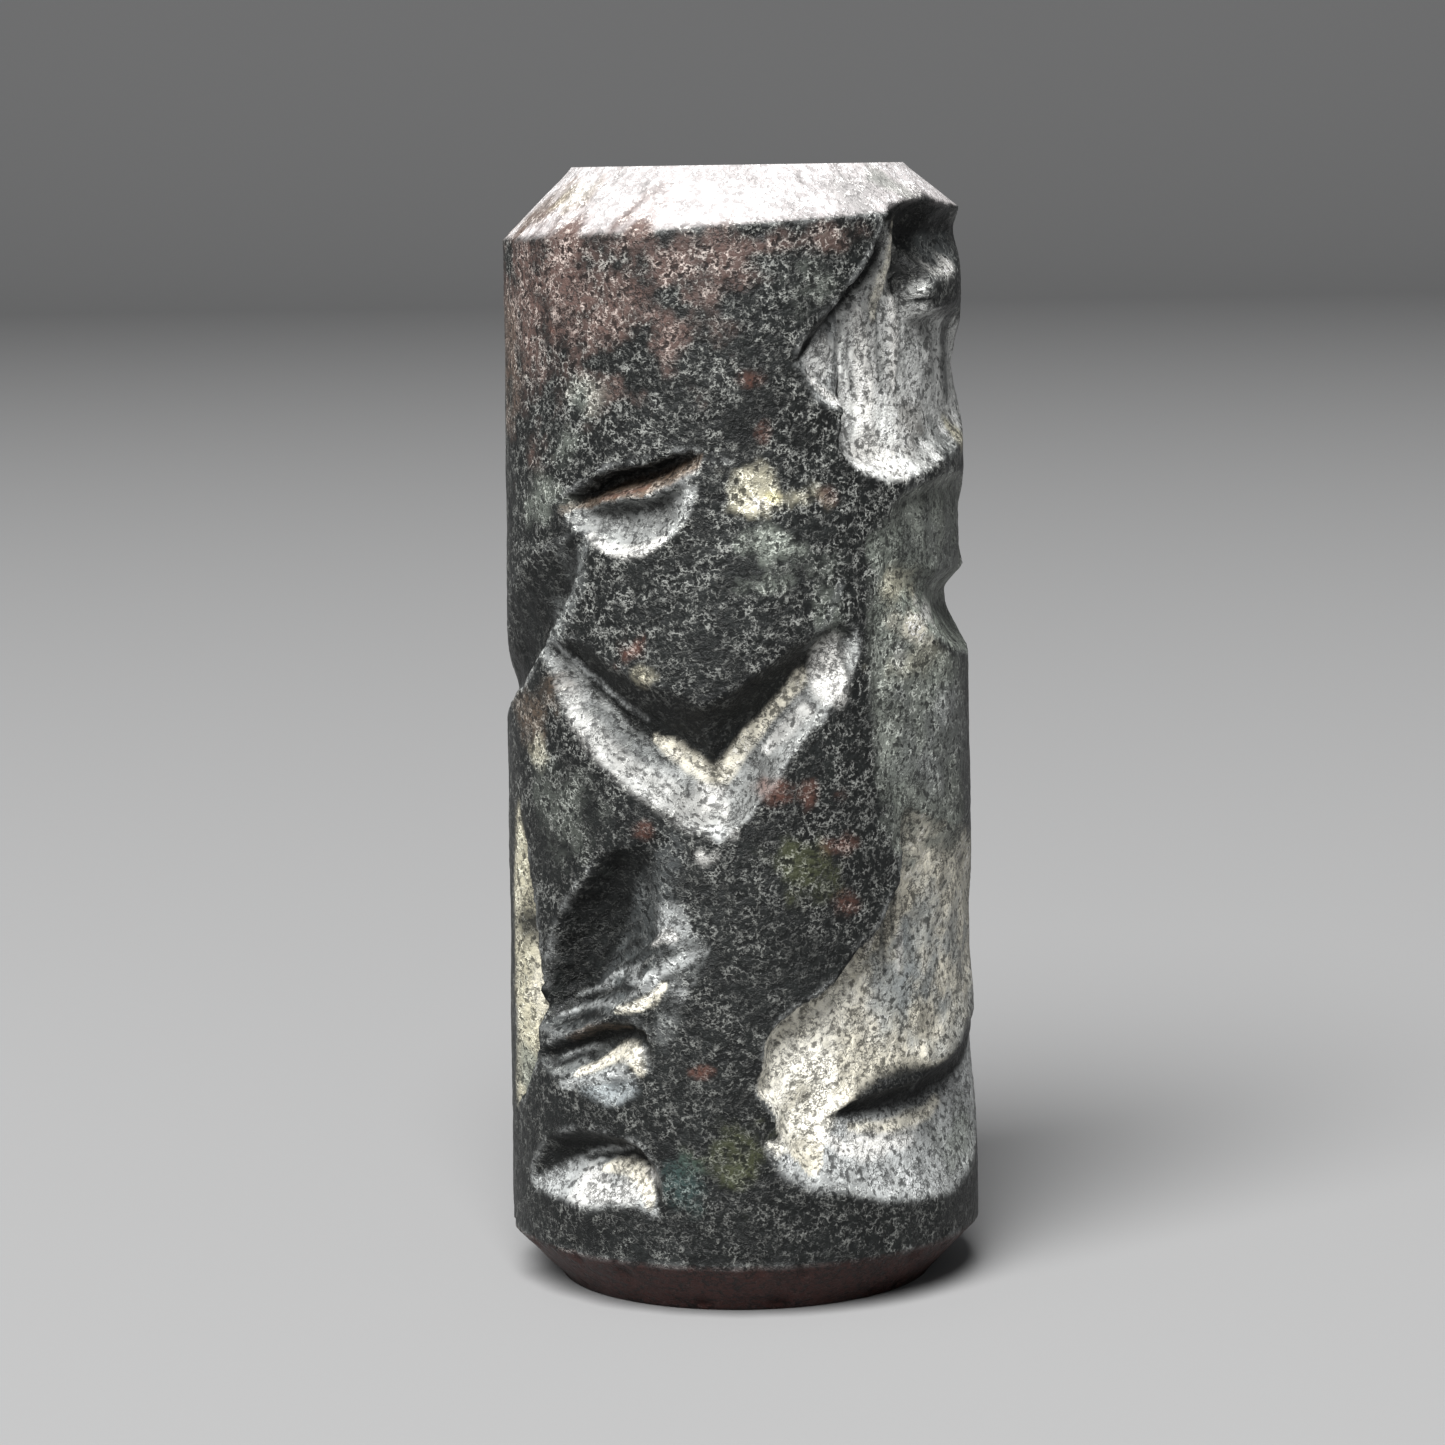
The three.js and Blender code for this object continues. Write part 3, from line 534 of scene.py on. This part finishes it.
def hollow_depth(hollow, x, y):
    corners = curve_through(hollow["corners"], closed=True, pieces=5)
    corners[:, 0] *= ARC
    from_first = across(x, corners[0][0])
    inside = np.zeros(x.shape, bool)
    nearest = np.full(x.shape, np.inf)
    weights = np.zeros_like(x)
    wall = np.zeros_like(x)
    floor = np.zeros_like(x)
    for a, b in zip(corners, np.roll(corners, -1, axis=0)):
        ax, ay = across(a[0], corners[0][0]) - from_first, a[1] - y
        bx, by = across(b[0], corners[0][0]) - from_first, b[1] - y
        crosses = (ay > 0) != (by > 0)
        rise = np.where(crosses, by - ay, 1)
        inside ^= crosses & (ax - (bx - ax) * ay / rise > 0)
        along, distance, _ = beside(x, y, a, b)
        weight = 1 / (distance ** 2 + 1e-4)
        nearest = np.minimum(nearest, distance)
        weights += weight
        wall += weight * (a[2] + (b[2] - a[2]) * along)
        floor += weight * (a[3] + (b[3] - a[3]) * along)
    t = np.clip(nearest / (wall / weights), 0, 1)
    return np.where(inside, floor / weights * PROFILES["round"](t), 0)


def wall_radius(height):
    share = height / HEIGHT
    lower = BASE_RADIUS + (MIDDLE_RADIUS - BASE_RADIUS) * share * 2
    upper = MIDDLE_RADIUS + (TOP_RADIUS - MIDDLE_RADIUS) * (share * 2 - 1)
    return np.where(share > 0.5, upper, lower)


def profile():
    """The closed half section, as rows of radius and height."""
    corners = [
        (BORE_MOUTH_RADIUS, 0, DISC_ROWS),
        (BASE_RADIUS - BASE_BEVEL, 0, BASE_BEVEL_ROWS),
        (float(wall_radius(BASE_BEVEL_RISE)), BASE_BEVEL_RISE, WALL_ROWS),
        (float(wall_radius(TOP_RIM)), TOP_RIM, TOP_BEVEL_ROWS),
        (TOP_RADIUS - TOP_BEVEL, HEIGHT, DISC_ROWS),
        (BORE_MOUTH_RADIUS, HEIGHT, BORE_ROWS),
        (BORE_RADIUS, HEIGHT / 2, BORE_ROWS),
    ]
    points = []
    for (r0, z0, rows), (r1, z1, _) in zip(corners, corners[1:] + corners[:1]):
        points += [(r0 + (r1 - r0) * k / rows, z0 + (z1 - z0) * k / rows) for k in range(rows)]
    return np.array(points)


def mixed(base, colour, share):
    return base + (np.array(colour) - base) * share[..., None]


def striped(x, y, at, z, half_width, half_height, angle, period, places):
    """Parallel tool marks from -1 to 1 that fade out round a region."""
    away = np.hypot(across(x, at * ARC) / half_width, (y - z) / half_height)
    turn = math.radians(angle)
    phase = (across(x, at * ARC) * -math.sin(turn) + (y - z) * math.cos(turn)) / period
    uneven = 0.6 * noise(places, 1.1, 71) + 0.25 * noise(places, 0.4, 72)
    wave = 2 * math.pi * (phase + uneven)
    return smooth(1.6 - 1.2 * away) * (np.sin(wave) + 0.35 * np.sin(2 * wave + 0.6)) / 1.2


def line_share(path, x, y):
    """How far each place lies on a line whose width changes along its path."""
    path = curve_through(path, pieces=4)
    path[:, 0] *= ARC
    share = np.zeros_like(x)
    for a, b in zip(path, path[1:]):
        along, distance, _ = beside(x, y, a, b)
        share = np.maximum(share, smooth(1.5 - distance / (a[2] + (b[2] - a[2]) * along)))
    return share


def carve(degrees, height, solid_places):
    """Depth of the carving and colour of the stone at each place on the wall, and the lines drawn there."""
    x = degrees * ARC
    y = height / SCALE
    x = x + EDGE_WOBBLE * layered(solid_places, 0.7, 11)
    y = y + EDGE_WOBBLE * layered(solid_places, 0.7, 23)
    depth = np.zeros_like(x)
    colour = np.broadcast_to(np.array(COLOURS["skin"]), x.shape + (3,)).copy()
    for name, stroke in STROKES.items():
        cut, upper = stroke_depth(stroke, x, y)
        wins = (cut > depth) | (stroke.get("adds", False) & (cut > 0.02))
        tint = mixed(np.array(COLOURS[stroke["below"][1]]) + 0 * colour, COLOURS[stroke["above"][1]], upper)
        colour = np.where(wins[..., None], mixed(colour, tint, smooth(cut / 0.1)), colour)
        depth = depth + cut if stroke.get("adds") else np.maximum(depth, cut)
    for hollow in HOLLOWS.values():
        cut = hollow_depth(hollow, x, y)
        wins = cut > depth
        tint = mixed(colour, COLOURS[hollow["colour"]], smooth(cut / 0.2))
        colour = np.where(wins[..., None], tint, colour)
        depth = np.maximum(depth, cut)
    inside = in_cut(depth)
    for mark in TOOL_MARKS:
        *where, size, shade = mark
        lines = striped(x, y, *where, solid_places) * inside
        depth = depth + size * lines
        colour = colour * (1 + shade * lines[..., None])
    drawn = []
    for name, strength, deeper, path in LINES:
        share = line_share(path, x, y)
        depth = depth + deeper * share
        drawn.append((name, strength * share))
    return depth, colour, drawn


def stained(colour, degrees, height, depth, solid_places):
    """The colour with its stains and mineral patches added."""
    y = height / SCALE
    rough_edge = layered(solid_places, 0.7, 41, 4)
    for patches, room in ((PATCHES, 1), (CUT_PATCHES, in_cut(depth))):
        for at, z, half_width, half_height, name, strength in patches:
            away = np.hypot(across(degrees * ARC, at * ARC) / half_width, (y - z) / half_height)
            colour = mixed(colour, COLOURS[name], strength * smooth(1.2 - away + 0.7 * rough_edge) * room)
    return colour


def shaded(colour, depth, places):
    """Cut faces are streaked and blotched; the skin varies less."""
    inside = in_cut(depth)
    drawn = places * np.array([1, 1, 0.45])
    streaky = inside * (0.45 * layered(drawn, 0.55, 51, 4) - 0.05)
    cloudy = (1 - inside) * 0.35 * layered(places, 1.8, 53)
    return colour * np.clip(1 + streaky + cloudy, 0.25, 1.8)[..., None]


def ends_coloured(colour, z, radius, places):
    """The top bevel gets a painted sheen, the flat top less, and the base bevel is smooth and reddish."""
    flat = smooth((TOP_RADIUS - TOP_BEVEL - radius) / (0.9 * SCALE))
    # painted sheen: the top bevel is lightened in patches
    sheen_share = on_top_bevel(z) * smooth(1.15 + 0.5 * layered(places, 0.35, 63))
    colour = mixed(colour, COLOURS["painted_sheen"], (0.92 - 0.72 * flat) * sheen_share)
    return mixed(colour, COLOURS["clay"], on_base_bevel(z))


def chips(degrees, height, places):
    """Small flakes lost along the rims and the sharp edges, in millimetres of depth."""
    draw = np.random.default_rng(CHIP_SEED)
    lost = np.zeros_like(height)
    x, y = degrees * ARC, height / SCALE
    for at, z, spread, size in zip(draw.uniform(-180, 180, CHIP_COUNT), draw.choice(CHIP_HEIGHTS, CHIP_COUNT),
                                   draw.normal(0, 0.12, CHIP_COUNT), draw.uniform(0.12, 0.42, CHIP_COUNT)):
        away = np.hypot(across(x, at * ARC), y - z - spread) / size
        near = away < 1.6
        lost[near] = np.maximum(lost[near], 0.3 * size * smooth(1.2 - away[near]))
    return lost * (0.7 + 0.6 * noise(places, 0.25, 5))


def blurred(grid, reach):
    """The grid averaged over a small window; it wraps round the seal."""
    total = np.zeros_like(grid)
    count = 0
    for i in range(-reach, reach + 1):
        for j in range(-reach, reach + 1):
            total += np.roll(np.roll(grid, i, axis=0), j, axis=1)
            count += 1
    return total / count


def seal_mesh():
    """Places, colours with the share of dark pits as alpha, and the share of grains, by column and row."""
    section = profile()
    rows = len(section)
    turn = np.linspace(0, 2 * math.pi, COLUMNS, endpoint=False)
    around = (turn - FRONT_CROWDING * np.sin(turn))[:, None]
    radius = np.broadcast_to(section[:, 0], (COLUMNS, rows))
    z = np.broadcast_to(section[:, 1], (COLUMNS, rows))
    outer = radius > BORE_MOUTH_RADIUS + 1e-6
    tilt = np.where(z > TOP_RIM, (HEIGHT - z) / TOP_BEVEL_DROP, (z / TOP_RIM) ** 4)
    height = np.where(outer, z + tilt * TOP_RIM_LIFT * np.sin(around), z)
    shift = np.where(outer, TOP_SHIFT * np.clip((z - TOP_RIM) / TOP_BEVEL_DROP, 0, 1), 0)
    degrees = np.degrees(around) + 0 * height
    full = wall_radius(height)
    solid_places = np.stack([full * np.sin(around), -full * np.cos(around), height], axis=-1) / SCALE
    depth, colour, drawn = carve(degrees, height, solid_places)
    relief = SKIN_RELIEF * (layered(solid_places, 1.6, 31) - 1)
    relief = relief + GRAIN_RELIEF * layered(solid_places, 0.22, 37, 2)
    worn = chips(degrees, height, solid_places)
    off_end = np.clip(np.minimum(z, HEIGHT - z) / 0.15, 0, 1)
    uncut = radius + (relief - worn) * SCALE * off_end
    rough_cut = CUT_RELIEF * layered(solid_places, 0.6, 43) * in_cut(depth)
    cut = np.minimum(np.minimum(uncut, full - (depth + rough_cut) * SCALE), radius)
    cut = np.where(outer, cut, radius)
    bulge = (cut - blurred(cut, 2)) * off_end * outer
    colour = shaded(colour, depth, solid_places)
    worn_edge = smooth(bulge / 0.06) * smooth(0.5 + layered(solid_places, 0.4, 61))
    worn_edge = worn_edge * (1 - smooth(depth / 0.3))
    colour = mixed(colour, COLOURS["grey"], WEAR * worn_edge)
    colour = ends_coloured(colour, z, radius, solid_places)
    # painted shade: places lower than the stone round them, in crevices and at the feet of walls, are
    # darkened
    colour = colour * (1 - 0.45 * smooth(-bulge / 0.08))[..., None]
    colour = stained(colour, degrees, height, depth, solid_places)
    streaks = np.clip(1 + 0.5 * layered(solid_places, 0.35, 57), 0.4, 1.6)
    for name, share in drawn:
        colour = mixed(colour, np.array(COLOURS[name]) * streaks[..., None], share)
    x = cut * np.sin(around) + shift
    y = -cut * np.cos(around)
    places = np.stack([x, y, height], axis=-1) * MM
    # painted light from above: the grains of the uncut stone grow lighter towards the top
    painted_top_light = 0.5 + 0.5 * smooth((z / HEIGHT - 0.1) / 0.7)
    skin = (1 - 0.7 * smooth((depth - 0.1) / 0.3)) * painted_top_light * (1 - 0.85 * on_base_bevel(z))
    # fewer dark pits on the top bevel, part of its painted sheen
    pitted = 1 - 0.6 * on_top_bevel(z)
    return places, np.concatenate([colour, pitted[..., None]], axis=-1), skin


def build_seal():
    places, colour, skin = seal_mesh()
    columns, rows = places.shape[:2]
    index = np.arange(columns * rows).reshape(columns, rows)
    right = np.roll(index, -1, axis=0)
    faces = np.stack([index, right, np.roll(right, -1, axis=1), np.roll(index, -1, axis=1)], axis=-1)
    mesh = bpy.data.meshes.new("seal")
    mesh.from_pydata(places.reshape(-1, 3).tolist(), [], faces.reshape(-1, 4).tolist())
    mesh.polygons.foreach_set("use_smooth", np.ones(len(mesh.polygons), bool))
    tint = mesh.color_attributes.new("tint", "FLOAT_COLOR", "POINT")
    tint.data.foreach_set("color", colour.astype(np.float32).ravel())
    uncut = mesh.attributes.new("skin", "FLOAT", "POINT")
    uncut.data.foreach_set("value", skin.astype(np.float32).ravel())
    mesh.update()
    seal = bpy.data.objects.new("seal", mesh)
    bpy.context.scene.collection.objects.link(seal)
    return seal


def stone_material():
    """Zones of colour from the mesh, broken up by winding grains, dark pits and painted glints."""
    material = bpy.data.materials.new("stone")
    material.use_nodes = True
    nodes, links = material.node_tree.nodes, material.node_tree.links
    shader = nodes["Principled BSDF"]

    def node(kind, **settings):
        made = nodes.new(kind)
        for key, value in settings.items():
            setattr(made, key, value)
        return made

    def put(socket, value):
        if isinstance(value, bpy.types.NodeSocket):
            links.new(value, socket)
        else:
            socket.default_value = value

    def math_node(operation, a, b=0.0, clamp=False):
        made = node("ShaderNodeMath", operation=operation, use_clamp=clamp)
        put(made.inputs[0], a)
        put(made.inputs[1], b)
        return made.outputs[0]

    def noise_node(per_mm, detail=2.0, roughness=0.6):
        made = node("ShaderNodeTexNoise")
        links.new(place, made.inputs["Vector"])
        made.inputs["Scale"].default_value = per_mm / MM
        made.inputs["Detail"].default_value = detail
        made.inputs["Roughness"].default_value = roughness
        return made.outputs["Fac"]

    def step_between(value, low_end, high_end):
        made = node("ShaderNodeMapRange", interpolation_type="SMOOTHSTEP")
        put(made.inputs["Value"], value)
        made.inputs["From Min"].default_value = low_end
        made.inputs["From Max"].default_value = high_end
        return made.outputs["Result"]

    def mix_colour(share, a, b):
        made = node("ShaderNodeMix", data_type="RGBA", clamp_result=True)
        put(made.inputs["Factor"], share)
        put(made.inputs["A"], a)
        put(made.inputs["B"], b)
        return made.outputs["Result"]

    def contour(value, width):
        """Thin winding lines, where a noise passes its middle value."""
        off_middle = math_node("ABSOLUTE", math_node("SUBTRACT", value, 0.5))
        return step_between(off_middle, width, 0.25 * width)

    place = node("ShaderNodeTexCoord").outputs["Object"]
    tint_node = node("ShaderNodeAttribute", attribute_name="tint")
    tint, pitted = tint_node.outputs["Color"], tint_node.outputs["Alpha"]
    skin = node("ShaderNodeAttribute", attribute_name="skin").outputs["Fac"]

    mottle = noise_node(MOTTLE, 4.0)
    crystals = noise_node(CRYSTALS, 3.0, 0.6)
    pits = noise_node(PITS, 4.0, 0.7)
    fine = noise_node(FINE, 2.0)
    cells = node("ShaderNodeTexVoronoi")
    links.new(place, cells.inputs["Vector"])
    cells.inputs["Scale"].default_value = PAINTED_GLINTS / MM

    broken = math_node("MULTIPLY", step_between(pits, 0.42, 0.58), step_between(fine, 0.34, 0.52))
    worms = math_node("MULTIPLY", contour(crystals, 0.09), broken)
    dark_lines = math_node("MULTIPLY", contour(pits, 0.05), step_between(mottle, 0.62, 0.40))
    dark_spots = step_between(crystals, 0.50, 0.36)
    dark = math_node("MAXIMUM", dark_lines, dark_spots)
    dark_share = math_node("MULTIPLY", dark, math_node("MULTIPLY", pitted, 0.8))
    darker = mix_colour(dark_share, tint, COLOURS["black"] + (1,))
    grains = math_node("MULTIPLY", worms, step_between(mottle, 0.30, 0.62))
    vivid = node("ShaderNodeVectorMath", operation="SCALE")
    links.new(tint, vivid.inputs[0])
    vivid.inputs["Scale"].default_value = 5.0
    grain_colour = mix_colour(0.5, GRAIN_COLOUR, vivid.outputs["Vector"])
    speckled = mix_colour(math_node("MULTIPLY", grains, skin), darker, grain_colour)
    # painted glints: small bright spots mixed into the base colour
    painted_glint = math_node("MULTIPLY", step_between(cells.outputs["Distance"], 0.12, 0.05),
                        step_between(fine, 0.62, 0.70))
    stone = mix_colour(math_node("MULTIPLY", painted_glint, 0.45), speckled, PAINTED_GLINT_COLOUR)
    links.new(stone, shader.inputs["Base Color"])

    rough = math_node("ADD", math_node("MULTIPLY", crystals, 0.35), 0.30)
    shader.inputs["Specular IOR Level"].default_value = 0.2
    links.new(rough, shader.inputs["Roughness"])
    bump = node("ShaderNodeBump")
    relief = math_node("ADD", math_node("MULTIPLY", crystals, 0.8), math_node("MULTIPLY", worms, 0.35))
    links.new(relief, bump.inputs["Height"])
    bump.inputs["Strength"].default_value = BUMP_STRENGTH
    bump.inputs["Distance"].default_value = BUMP_HEIGHT * MM
    links.new(bump.outputs["Normal"], shader.inputs["Normal"])
    return material


def add_camera():
    """The photograph's view: level with the seal's top, looking a little down at its front."""
    focal_px, image_px, distance, above_floor = 4328.0, 1445, 0.0978, 0.0252
    pitch, roll, yaw = math.radians(7.34), math.radians(-0.9), math.radians(0.212)
    data = bpy.data.cameras.new("camera")
    data.sensor_fit = "HORIZONTAL"
    data.sensor_width = 36
    data.lens = focal_px / image_px * data.sensor_width
    data.clip_start = 0.001
    camera = bpy.data.objects.new("camera", data)
    turn = Matrix.Rotation(yaw, 4, "Z") @ Matrix.Rotation(math.pi / 2 - pitch, 4, "X")
    turn = turn @ Matrix.Rotation(roll, 4, "Z")
    camera.matrix_world = Matrix.Translation((0, -distance, above_floor)) @ turn
    bpy.context.scene.collection.objects.link(camera)
    bpy.context.scene.camera = camera


def add_area_light(name, place, aim, size, power, colour=(1, 1, 1)):
    data = bpy.data.lights.new(name, "AREA")
    data.shape = "DISK"
    data.size = size
    data.energy = power
    data.color = colour
    light = bpy.data.objects.new(name, data)
    light.location = place
    towards = [b - a for a, b in zip(place, aim)]
    light.rotation_euler = Vector(towards).to_track_quat("-Z", "Y").to_euler()
    bpy.context.scene.collection.objects.link(light)


def add_stage():
    """A pale floor that curves up into a backdrop."""
    half_width, front, back, bend = 1.2, -0.6, 0.7, 0.3
    section = [(front, 0.0)]
    for k in range(17):
        angle = math.pi / 2 * k / 16
        section.append((back + bend * math.sin(angle), bend * (1 - math.cos(angle))))
    section.append((back + bend, 1.2))
    points = [(x, y, z) for y, z in section for x in (-half_width, half_width)]
    faces = [(2 * k, 2 * k + 1, 2 * k + 3, 2 * k + 2) for k in range(len(section) - 1)]
    mesh = bpy.data.meshes.new("floor")
    mesh.from_pydata(points, [], faces)
    mesh.polygons.foreach_set("use_smooth", [True] * len(faces))
    floor = bpy.data.objects.new("floor", mesh)
    bpy.context.scene.collection.objects.link(floor)
    material = bpy.data.materials.new("pale_floor")
    material.use_nodes = True
    shader = material.node_tree.nodes["Principled BSDF"]
    shader.inputs["Base Color"].default_value = (0.20, 0.20, 0.20, 1)
    shader.inputs["Roughness"].default_value = 0.9
    mesh.materials.append(material)


def add_lights():
    add_area_light("sky", (-0.12, -0.36, 0.50), (0, 0, 0.012), 0.45, 13)
    add_area_light("window", (-0.45, -0.55, 0.45), (0, 0, 0.012), 0.35, 1.2)
    world = bpy.data.worlds.new("world")
    world.use_nodes = True
    world.node_tree.nodes["Background"].inputs["Color"].default_value = (0.75, 0.77, 0.8, 1)
    world.node_tree.nodes["Background"].inputs["Strength"].default_value = 0.25
    bpy.context.scene.world = world
    bpy.context.scene.view_settings.view_transform = "Standard"


seal = build_seal()
seal.data.materials.append(stone_material())
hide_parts(NODE)
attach(seal, "root")
add_camera()
add_lights()
add_stage()
